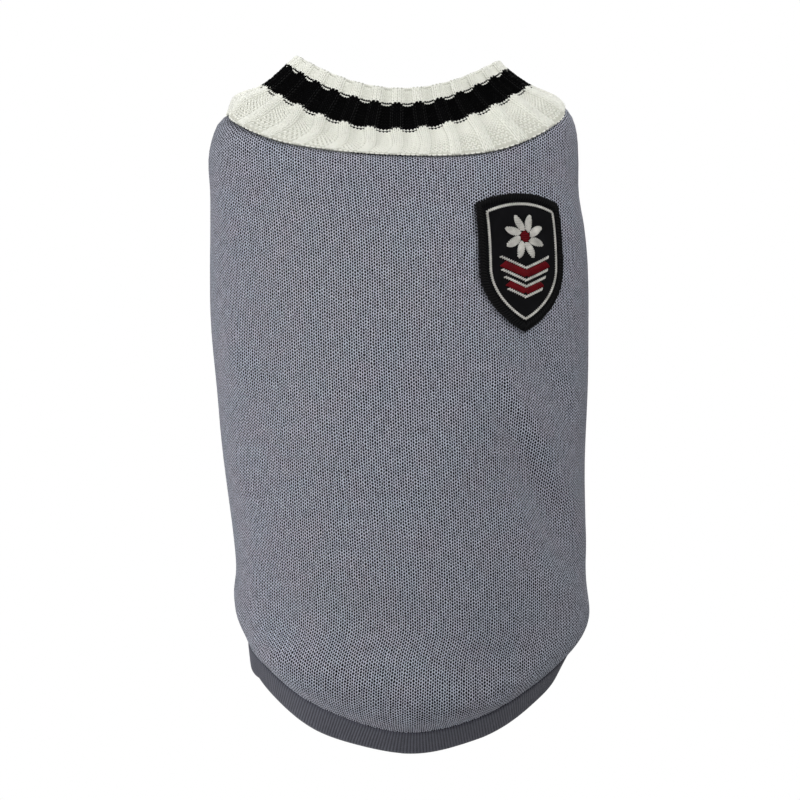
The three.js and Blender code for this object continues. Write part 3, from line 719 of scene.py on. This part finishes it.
def collarBase(name):
    # the surface that the loops are laid on, wider than the collar by a wale and a course on each side
    wales = np.arange(-2, 2 * collar["wales"] + 3) / 2
    rows = np.arange(-2, 2 * collar["courses"] + 3) / 2
    wale, row = np.meshgrid(wales, rows)
    up = row * collar["height"] / collar["courses"]
    points, normal = collarSurface(wale, up, np.full_like(up, -collar["middleDepth"]))
    uv = np.stack([(wale + 1) / (collar["wales"] + 2), (row + 1) / (collar["courses"] + 2)], axis=-1)
    faces = gridFaces(len(rows) - 1, len(wales) - 1, flip=True)
    return meshObject(name, points, faces, uv=uv, facing=normal)


def makeYarn(name, first, count, material, tree):
    sizes = {"Wales": collar["wales"], "Knit wales": float(collar["knitWales"]),
             "Rib wales": float(collar["ribWales"]), "First course": first, "Courses": count,
             "All courses": collar["courses"], "Course bend": collar["courseBend"],
             "Spike": collar["spike"] if first + count < collar["courses"] else 0.0,
             "Spike lift": collar["spikeLiftMm"] * metre,
             "Loop points": collar["loopPoints"], "Loop swing": collar["loopSwing"],
             "Loop reach": collar["loopReach"], "Loop depth": collar["loopDepthMm"] * metre,
             "Yarn radius": collar["yarnMm"] * metre, "Yarn sides": collar["yarnSides"],
             "Uneven": collar["unevenMm"] * metre, "Yarn": material}
    return runModifier(collarBase(name), tree, sizes)


def makeCollarCore(material):
    # the thin closed ring inside the loops that keeps light from passing between them
    steps, rows = collar["wales"] * 2, collar["coreRows"]
    outer = np.linspace(-0.3, collar["height"] - 0.3, rows)
    halfWall = np.repeat([collar["coreWall"] / 2, -collar["coreWall"] / 2], rows)
    wale = np.repeat(np.arange(steps)[:, None] / 2, rows * 2, axis=1)
    up = np.broadcast_to(np.concatenate([outer, outer[::-1]]), wale.shape)
    points, _ = collarSurface(wale, up, np.broadcast_to(halfWall - collar["middleDepth"], wale.shape))
    uv = np.stack([wale, up * collar["courses"] / collar["height"]], axis=-1)
    return meshObject("collarCore", points, ringFaces(steps, rows * 2), uv=uv, materials=[material])


def coreMaterial():
    # the same yarns seen between the loops, coloured darker than the loops as painted shade: banded by course
    material, tree, shader = newMaterial("acrylicYarnCollarCore")
    place = addNode(tree, "ShaderNodeUVMap", uv_map="cloth")
    u, v, _ = addNode(tree, "ShaderNodeSeparateXYZ", [place], out=None)
    middle, reach = collar["knitWales"] / 2, collar["ribWales"] / 2
    away = addNode(tree, "ShaderNodeMath", [u, middle], operation="SUBTRACT")
    away = addNode(tree, "ShaderNodeMath", [away, reach, -reach], operation="WRAP")
    away = addNode(tree, "ShaderNodeMath", [away], operation="ABSOLUTE")
    bend = addNode(tree, "ShaderNodeMath", [middle, away], operation="SUBTRACT")
    course = addNode(tree, "ShaderNodeMath", [bend, -collar["courseBend"], v], operation="MULTIPLY_ADD")
    above = addNode(tree, "ShaderNodeMath", [course, collar["lowCream"]], operation="GREATER_THAN")
    below = addNode(tree, "ShaderNodeMath", [course, collar["lowCream"] + collar["black"]],
                    operation="LESS_THAN")
    band = addNode(tree, "ShaderNodeMath", [above, below], operation="MULTIPLY")
    # painted shade: the cream between the loops is darker than the cream yarn
    colour = addNode(tree, "ShaderNodeMix", {0: band, 6: linearColour("#c6c6bb"), 7: linearColour("#030303")},
                     out=2, data_type="RGBA")
    fillInputs(tree, shader, {"Base Color": colour, "Roughness": 0.95})
    return material


loops = loopTree()
blackFrom = collar["lowCream"]
creamFrom = blackFrom + collar["black"]
collarCore = makeCollarCore(coreMaterial())
collarLow = makeYarn("collarLowYarn", 0, blackFrom, creamYarn, loops)
collarBlack = makeYarn("collarBlackYarn", blackFrom, collar["black"], blackYarn, loops)
collarTop = makeYarn("collarTopYarn", creamFrom, collar["courses"] - creamFrom, creamYarn, loops)
for piece in (collarCore, collarLow, collarBlack, collarTop):
    finishPiece(piece, ["collar"])
print("collar made", [len(p.data.polygons) for p in (collarLow, collarBlack, collarTop)])

hemBand = {
    "turn": 5, "inset": 1.25, "ribs": 330, "ribDepth": 0.22, "curl": 0.3, "fuller": 1.03, "wall": 1.8,
    "rows": 14,
}
armholeBand = {"width": 10, "wall": 2.2, "flare": 2.6, "ribs": 104, "rows": 9, "ribDepth": 0.45}
ribCourseMm = 1.3


def ribMaterial(name, light, grooveShade):
    # Single rib in the body's acrylic yarn: narrow upright columns with grooves between them; the grooves
    # and the partings of the legs are coloured dark as painted shade. The UV map counts ribs in u and courses
    # in v.
    material, tree, shader = newMaterial(name)
    place = addNode(tree, "ShaderNodeUVMap", uv_map="cloth")
    u, v, _ = addNode(tree, "ShaderNodeSeparateXYZ", [place], out=None)
    column = addNode(tree, "ShaderNodeMath", [cosineWave(tree, u), -0.5, 0.5], operation="MULTIPLY_ADD")
    groove = addNode(tree, "ShaderNodeMath", [column, 1.6], operation="POWER")
    half = addNode(tree, "ShaderNodeMath", [u, 0.5], operation="PINGPONG")
    slant = addNode(tree, "ShaderNodeMath", [half, 2.5, v], operation="MULTIPLY_ADD")
    leg = addNode(tree, "ShaderNodeMath", [cosineWave(tree, slant), 0.5, 0.5], operation="MULTIPLY_ADD")
    legDark = addNode(tree, "ShaderNodeMath", [leg, 0.35], operation="MULTIPLY")
    dark = addNode(tree, "ShaderNodeMath", [groove, 0.5, legDark], operation="MULTIPLY_ADD")
    spot = addNode(tree, "ShaderNodeTexCoord", out="Object")
    fine = addNode(tree, "ShaderNodeTexNoise", {"Vector": spot, "Scale": 600.0, "Detail": 3.0}, out="Fac")
    shade = addNode(tree, "ShaderNodeMath", [fine, 0.3, -0.15], operation="MULTIPLY_ADD")
    depth = addNode(tree, "ShaderNodeMath", [dark, shade], operation="ADD")
    depth = addNode(tree, "ShaderNodeClamp", {"Value": depth})
    colour = addNode(tree, "ShaderNodeMix", {0: depth, 6: linearColour(light), 7: linearColour(grooveShade)},
                     out=2, data_type="RGBA")
    height = addNode(tree, "ShaderNodeMath", [depth, -1.0, 1.0], operation="MULTIPLY_ADD")
    bump = addNode(tree, "ShaderNodeBump", {"Height": height, "Strength": 0.5, "Distance": 0.25 * metre})
    fillInputs(tree, shader, {"Base Color": colour, "Normal": bump, "Roughness": 0.92, "Sheen Weight": 0.15,
                              "Specular IOR Level": 0.2})
    return material


def bandSection(row):
    # round a band's wall: how far each point is across the band, and 1 on the outside
    return np.concatenate([row, row[::-1]])[None, :], np.repeat([1, 0], len(row))[None, :]


def ribbedBand(name, points, courses):
    # the last step repeats u from 0, so the seam of the map falls in a groove
    steps, length = points.shape[:2]
    rib = np.repeat(np.arange(steps)[:, None] / stepsPerRib, length, axis=1)
    uv = np.stack([rib, np.broadcast_to(courses, rib.shape)], axis=-1)
    return meshObject(name, points, ringFaces(steps, length), uv=uv, materials=[shadedGreyRib])


# painted shade: both bands are the body's grey yarn coloured much darker, for the hem band lying in shade
# where it turns under
shadedGreyRib = ribMaterial("acrylicSingleRibGrey", "#60616c", "#141418")
stepsPerRib = 4


def makeHem():
    steps = hemBand["ribs"] * stepsPerRib
    angles = evenAngles(lambda angle: bodyPoint(angle, np.ones_like(angle)), steps)[:, None]
    ones = np.ones_like(angles)
    normal, _ = surfaceFrame(bodyPoint, angles, ones)
    seamwards = bodyPoint(angles + 1, ones) - bodyPoint(angles - 1, ones)
    downwards = unit(np.cross(seamwards, normal))
    turn = math.radians(hemBand["turn"])
    along = downwards * math.cos(turn) - normal * math.sin(turn)
    outward = normal * math.cos(turn) + downwards * math.sin(turn)
    share, outside = bandSection(np.linspace(0, 1, hemBand["rows"] + 1)[::-1])
    face = unit(normal + (outward - normal) * smoothStep(0, 0.3, share)[..., None])
    wave = 0.5 + 0.5 * np.cos(2 * math.pi * np.arange(steps) / stepsPerRib)[:, None]
    width = aroundRing(hemWidths, angles) * hemBand["fuller"]
    wave = wave * (1 - smoothStep(0.8, 1.0, share)) + 0.5 * smoothStep(0.8, 1.0, share)
    edge = 0.35 * np.clip((np.abs(share - 0.5) - 0.42) / 0.08, 0, 1) ** 2
    uneven = (0.25 * np.sin(np.arange(steps)[:, None] / stepsPerRib / 5.3 + 1) - hemBand["curl"]) * share**2
    lift = np.where(outside > 0, hemBand["ribDepth"] * wave - edge + uneven,
                    -hemBand["wall"] + 0.3 * (1 - wave) + edge + uneven)
    base = bodyPoint(angles, ones) + downwards * body["seamGap"] - normal * hemBand["inset"]
    points = base + along * (share * width)[..., None] + face * lift[..., None]
    return ribbedBand("hemRib", points, share * width / ribCourseMm)


def makeArmhole(name, side):
    steps = armholeBand["ribs"] * stepsPerRib
    share, outside = bandSection(np.linspace(0, 1, armholeBand["rows"] + 1))
    order = np.arange(steps) if side > 0 else (steps - np.arange(steps)) % steps
    # equal lengths round the hole's own outline
    fine = np.linspace(0, 2 * math.pi, 721)
    outline = bodyPoint(side * (panels["seamAngle"] + armholeHalf["degrees"] * 0.8 * np.sin(fine)),
                        panels["armholeDown"] + armholeHalf["down"] * 0.8 * np.cos(fine))
    lengths = lengthsAlong(outline)
    turn = np.interp(lengths[-1] * order / steps, lengths, fine)[:, None]
    inward = body["seamGap"] + share * armholeBand["width"]
    across = armholeHalf["degrees"] * (1 - inward / panels["armholeHalfWidth"])
    tall = armholeHalf["down"] * (1 - inward / panels["armholeHalfHeight"])
    angle = side * (panels["seamAngle"] + across * np.sin(turn))
    down = panels["armholeDown"] + tall * np.cos(turn)
    wave = (0.5 + 0.5 * np.cos(2 * math.pi * order / stepsPerRib))[:, None]
    edge = 0.45 * np.clip((np.abs(share - 0.5) - 0.4) / 0.1, 0, 1) ** 2
    lift = np.where(outside > 0, armholeBand["ribDepth"] * (wave - 0.5) - edge,
                    -armholeBand["wall"] + 0.3 + 0.3 * (0.5 - wave) + edge) + armholeBand["flare"] * share**2
    points = bodyOffset(angle, down, lift)
    return ribbedBand(name, points, share * armholeBand["width"] / ribCourseMm)


hemRib = makeHem()
armholeRight, armholeLeft = makeArmhole("armholeRibRight", 1), makeArmhole("armholeRibLeft", -1)
finishPiece(hemRib, ["hem_band"])
finishPiece(armholeRight, ["armhole_band_right"])
finishPiece(armholeLeft, ["armhole_band_left"])
print("bands made")

badge = {
    "angle": 38.5, "z": -58.5, "halfWidth": 20.5, "height": 57.0, "lift": 0.3, "feltLift": 1.1, "dome": 0.25,
    "patch": 36.0, "patchSteps": 40, "outlinePoints": 168, "borderWraps": 132, "borderWidth": 2.2,
    "borderRise": 0.7,
}
badgeBlack = yarnMaterial("woolFeltBlack", "#131316", "#010101", roughness=0.95, sheen=0.0, gloss=0.1,
                          fibreMm=0.8)
badgeThread = yarnMaterial("rayonThreadBlack", "#070709", "#010102", roughness=0.6, sheen=0.0, gloss=0.12)
silverThread = yarnMaterial("rayonThreadSilver", "#f3f1ea", "#5a5852", roughness=0.42, sheen=0.1, gloss=0.5,
                            fibreMm=0.55)
redThread = yarnMaterial("rayonThreadRed", "#7c0716", "#260206", roughness=0.6, sheen=0.0, gloss=0.1,
                         fibreMm=0.55)


def downAtHeight(angle, z):
    top, bottom = aroundRing(neckHeights, angle), aroundRing(hemHeights, angle)
    return (top - z) / (top - bottom)


def badgePlace(x, y, lift):
    # x and y are millimetres on the flat badge, y up; the badge lies on the back's own curve
    halfWay = badge["angle"] + degreesFor(x / 2, badge["angle"], downAtHeight(badge["angle"], badge["z"]))
    angle = badge["angle"] + degreesFor(x, halfWay, downAtHeight(halfWay, badge["z"]))
    return bodyOffset(angle, downAtHeight(angle, badge["z"] + y), badge["lift"] + lift)


def bezierPoints(p0, p1, p2, p3, count):
    t = np.linspace(0, 1, count, endpoint=False)[:, None]
    return (1 - t) ** 3 * p0 + 3 * (1 - t) ** 2 * t * p1 + 3 * (1 - t) * t**2 * p2 + t**3 * p3


def pointsAlong(path, at):
    lengths = lengthsAlong(path)
    return np.stack([np.interp(at, lengths, path[:, k]) for k in (0, 1)], axis=-1)


def shieldOutline(count):
    w, h = badge["halfWidth"], badge["height"]
    top, shoulder, foot = h * 0.47, h * 0.4, -h * 0.53
    corner = [np.array(p, float) for p in ((0, top), (w * 0.5, top), (w, shoulder), (w, -h * 0.08),
                                           (w, -h * 0.3), (w * 0.45, foot * 0.86), (0, foot))]
    curve = bezierPoints(corner[0], corner[0] + (corner[1] - corner[0]) * 2 / 3,
                         corner[2] + (corner[1] - corner[2]) * 2 / 3, corner[2], 60)
    side = corner[2] + (corner[3] - corner[2]) * np.linspace(0, 1, 60, endpoint=False)[:, None]
    right = np.concatenate([curve, side, bezierPoints(*corner[3:], 120), corner[6][None]])
    left = right[-2:0:-1] * (-1, 1)
    ring = np.concatenate([right, left, right[:1]])
    return pointsAlong(ring, lengthsAlong(ring)[-1] * np.arange(count) / count)


def leftOf(ahead):
    return np.stack([-ahead[:, 1], ahead[:, 0]], axis=-1)


def threadTree():
    # laid threads: each line of the mesh becomes a round strand, flat first, then laid on the badge's patch
    tree, given = newTree("laidThreads", {
        "Geometry": ["Lines"], "Float": ["Thread radius", "Patch half size"], "Int": ["Thread sides"],
        "Object": ["Patch"], "Material": ["Thread"],
    }, "Threads")
    tubes = yarnTubes(tree, given["Lines"], given["Thread sides"], given["Thread radius"])
    spot = addNode(tree, "GeometryNodeInputPosition")
    x, y, z = addNode(tree, "ShaderNodeSeparateXYZ", [spot], out=None)
    wide = addNode(tree, "ShaderNodeMath", [given["Patch half size"], 2.0], operation="MULTIPLY")
    u, v = (addNode(tree, "ShaderNodeMath", [part, wide], operation="DIVIDE") for part in (x, y))
    flat = addNode(tree, "ShaderNodeCombineXYZ", [u, v, 0.0])
    uv = addNode(tree, "ShaderNodeVectorMath", [flat, (0.5, 0.5, 0.0)], operation="ADD")
    patch = addNode(tree, "GeometryNodeObjectInfo", {"Object": given["Patch"]}, out="Geometry")
    laid = addNode(tree, "GeometryNodeSetPosition",
                   {"Geometry": tubes, "Position": layOn(tree, patch, uv, z)})
    return closeTree(tree, laid, given["Thread"], "Threads")


def badgePatch():
    # the surface that the threads are laid on
    size, steps = badge["patch"], badge["patchSteps"]
    x, y = np.meshgrid(np.linspace(-size, size, steps + 1), np.linspace(size, -size, steps + 1))
    points = badgePlace(x, y, np.zeros_like(x))
    normal = unit(badgePlace(x, y, np.ones_like(x)) - points)
    uv = np.stack([x / (2 * size) + 0.5, y / (2 * size) + 0.5], axis=-1)
    return meshObject("badgePatch", points, gridFaces(steps, steps), uv=uv, facing=normal)


def laidThreads(name, lines, radius, sides, material):
    points, edges = [], []
    for line in lines:
        start = len(points)
        points += [tuple(p) for p in line]
        edges += [(start + k, start + k + 1) for k in range(len(line) - 1)]
    flat = meshObject(name, points, [], edges=edges)
    values = {"Thread radius": radius * metre, "Thread sides": sides, "Patch": patch, "Thread": material,
              "Patch half size": badge["patch"] * metre}
    return finishPiece(runModifier(flat, threads, values), ["badge"])


def makeFelt():
    # the stiff felt body of the badge, slightly domed, closed all round
    count, face, dome = badge["outlinePoints"], badge["feltLift"], badge["dome"]
    ring = shieldOutline(count)
    steps = [(0.5, 0.0), (1.0, 0.0), (1.0, 0.9), (0.985, face), (0.75, face + 0.15), (0.5, face + 0.22),
             (0.25, face + dome)]
    middle = np.zeros(())
    points = [badgePlace(middle, middle, middle)]
    for scale, lift in steps:
        points += list(badgePlace(ring[:, 0] * scale, ring[:, 1] * scale, np.full(count, lift)))
    points.append(badgePlace(middle, middle, middle + face + dome))
    faces, last = [], 1 + (len(steps) - 1) * count
    for i in range(count):
        j = (i + 1) % count
        faces.append((0, 1 + i, 1 + j))
        for low in range(1, last, count):
            faces.append((low + i, low + count + i, low + count + j, low + j))
        faces.append((last + i, len(points) - 1, last + j))
    return meshObject("badgeFeltBody", points, faces, materials=[badgeBlack])


def borderLines():
    # overlocked edge: slanting wraps of thread from the felt's face over its edge, each drawn thicker than
    # real thread, which is too fine to show
    width, rise = badge["borderWidth"], badge["borderRise"]
    ring = shieldOutline(badge["borderWraps"])
    # outward on the flat badge: the outline runs clockwise seen from outside
    outward = unit(leftOf(np.roll(ring, -2, axis=0) - np.roll(ring, 2, axis=0)))
    ahead = np.roll(ring, -1, axis=0) - ring
    wrap = ((-width, 0.1, -0.4), (-width * 0.75, 0.62, -0.2), (-width * 0.4, rise, 0.1), (-0.1, 0.45, 0.4),
            (0.35, -0.25, 0.6), (0.2, -0.8, 0.7))
    return [[(*(spot + out * across + on * slip), badge["feltLift"] + up) for across, up, slip in wrap]
            for spot, out, on in zip(ring, outward, ahead)]


def satin(centreLine, halfWidths, pitch=0.78, rise=0.4, slant=0.35):
    # satin stitch: strands side by side across a shape that follows a centre line, each drawn as thick as
    # a few real threads, which are too fine to show
    centreLine = np.asarray(centreLine, float)
    lengths = lengthsAlong(centreLine)
    at = np.arange(pitch / 2, lengths[-1], pitch)
    spots, wide = pointsAlong(centreLine, at), np.interp(at, lengths, halfWidths)
    ahead = unit(np.gradient(spots, axis=0) + 1e-9)
    across = unit(leftOf(ahead) + ahead * slant)
    base = badge["feltLift"] + 0.2
    return [[(*(s + a * w * side), base + up) for side, up in ((-1, 0), (-0.45, rise), (0.45, rise), (1, 0))]
            for s, a, w in zip(spots, across, wide)]


def petals(centre, inner, outer, width, count=8):
    lines = []
    t = np.linspace(0, 1, 12)
    for turn in 2 * math.pi * (np.arange(count) + 0.5) / count:
        way = np.array([math.sin(turn), math.cos(turn)])
        spine = np.array(centre) + way * (inner + (outer - inner) * t)[:, None]
        lines += satin(spine, width * np.sin(np.pi * np.clip(0.12 + 0.86 * t, 0, 1)) ** 0.7, slant=0.5)
    return lines


def disc(centre, radius):
    up = np.linspace(-radius, radius, 15)
    spine = np.array(centre) + np.stack([0 * up, up], axis=-1)
    return satin(spine, np.sqrt(np.maximum(radius**2 - up**2, 0.02)), slant=0.1)


def chevronPath(y, halfSpan, drop):
    return np.array([(-halfSpan, y + drop), (0.0, y), (halfSpan, y + drop)])


def chevronBand(y, halfSpan, drop, halfWidth):
    left, foot, right = chevronPath(y, halfSpan, drop)
    return (satin([left, foot + (0.35, 0)], [halfWidth] * 2, slant=0.6)
            + satin([foot - (0.35, 0), right], [halfWidth] * 2, slant=-0.6))


def cordAlong(path, closed=False, pitch=1.0, halfWidth=0.42, rise=0.32):
    # a fine twisted cord, drawn as short slanting stitches along a path
    path = np.concatenate([path, path[:1]]) if closed else path
    length = lengthsAlong(path)[-1]
    at = np.linspace(0, length, max(2, int(length / pitch)), endpoint=not closed)
    spots, further, nearer = (pointsAlong(path, at + step) for step in (0, 0.05, -0.05))
    ahead = unit(further - nearer)
    reach = leftOf(ahead) * halfWidth + ahead * pitch * 0.5
    base = badge["feltLift"] + badge["dome"]
    start, end = spots - reach, spots + reach
    return [[(*a, base), (*((a + b) / 2), base + rise), (*b, base)] for a, b in zip(start, end)]


patch = badgePatch()
threads = threadTree()
finishPiece(makeFelt(), ["badge"])
laidThreads("badgeBorder", borderLines(), 0.58, 6, badgeThread)
silverLines = cordAlong(shieldOutline(160) * (0.8, 0.85), closed=True) + petals((0, 9.0), 2.6, 9.6, 1.9)
silverLines += cordAlong(chevronPath(-4.2, 11.6, 4.6)) + cordAlong(chevronPath(-9.4, 11.0, 4.4))
silverLines += cordAlong(chevronPath(-12.0, 9.8, 3.9)) + cordAlong(chevronPath(-16.4, 8.2, 3.3))
redLines = disc((0, 9.0), 2.2) + chevronBand(-6.8, 11.0, 4.4, 1.7) + chevronBand(-14.2, 8.7, 3.5, 1.4)
laidThreads("badgeSilver", silverLines, 0.36, 5, silverThread)
laidThreads("badgeRed", redLines, 0.42, 5, redThread)
bpy.data.objects.remove(patch)
print("badge made")

# metres, as the scene's own units are
stage = {
    "floorZ": -0.75, "floorSize": 3.0, "lens": 261.63, "sensor": 36.0, "eye": (0.00043, -2.5, -0.11825),
    "clip": (0.1, 20.0), "skyLight": 0.08, "skySeen": 1.0,
}
trunk = (0, 0, -0.13)
# place, aim, size and power
lights = {
    "key": ((-2.4, -0.9, 0.4), trunk, 1.0, 45), "rim": ((-2.2, 0.6, 0.4), trunk, 0.8, 8),
    "front": ((-0.3, -2.6, 0.9), trunk, 1.2, 21), "right": ((1.9, -0.9, 1.7), trunk, 1.2, 8),
    "shoulder": ((0.5, -0.55, 0.5), (0.06, 0, 0), 0.4, 4.4), "rear": ((0.3, 1.8, 1.3), trunk, 1.2, 34),
}


def makeFloor():
    half, z = stage["floorSize"] / 2 / metre, stage["floorZ"] / metre
    material, tree, shader = newMaterial("paleFloor")
    fillInputs(tree, shader, {"Base Color": linearColour("#d8d8d8"), "Roughness": 0.8})
    floor = meshObject("floor", [(-half, -half, z), (half, -half, z), (half, half, z), (-half, half, z)],
                       [(0, 1, 2, 3)], materials=[material])


def makeLight(name, place, target, size, power):
    light = bpy.data.lights.new(name, "AREA")
    light.shape, light.size, light.energy = "DISK", size, power
    thing = bpy.data.objects.new(name, light)
    bpy.context.scene.collection.objects.link(thing)
    thing.location = place
    way = thing.location - type(thing.location)(target)
    thing.rotation_euler = way.to_track_quat("Z", "Y").to_euler()


makeFloor()
for name, values in lights.items():
    makeLight(name, *values)

world = bpy.data.worlds.new("studio")
bpy.context.scene.world = world
world.use_nodes = True
sky = world.node_tree
sky.nodes.clear()
seen = addNode(sky, "ShaderNodeLightPath", out="Is Camera Ray")
strength = addNode(sky, "ShaderNodeMapRange", {"Value": seen, "To Min": stage["skyLight"],
                                               "To Max": stage["skySeen"]})
glow = addNode(sky, "ShaderNodeBackground", {"Color": (1.0, 1.0, 1.0, 1.0), "Strength": strength})
addNode(sky, "ShaderNodeOutputWorld", {"Surface": glow}, out=None)

camera = bpy.data.cameras.new("camera")
camera.lens, camera.sensor_width = stage["lens"], stage["sensor"]
camera.clip_start, camera.clip_end = stage["clip"]
eye = bpy.data.objects.new("camera", camera)
bpy.context.scene.collection.objects.link(eye)
eye.matrix_world = Matrix.Translation(stage["eye"]) @ Matrix.Rotation(math.pi / 2, 4, "X")
bpy.context.scene.camera = eye
bpy.context.scene.view_settings.view_transform = "Standard"
print("stage made")
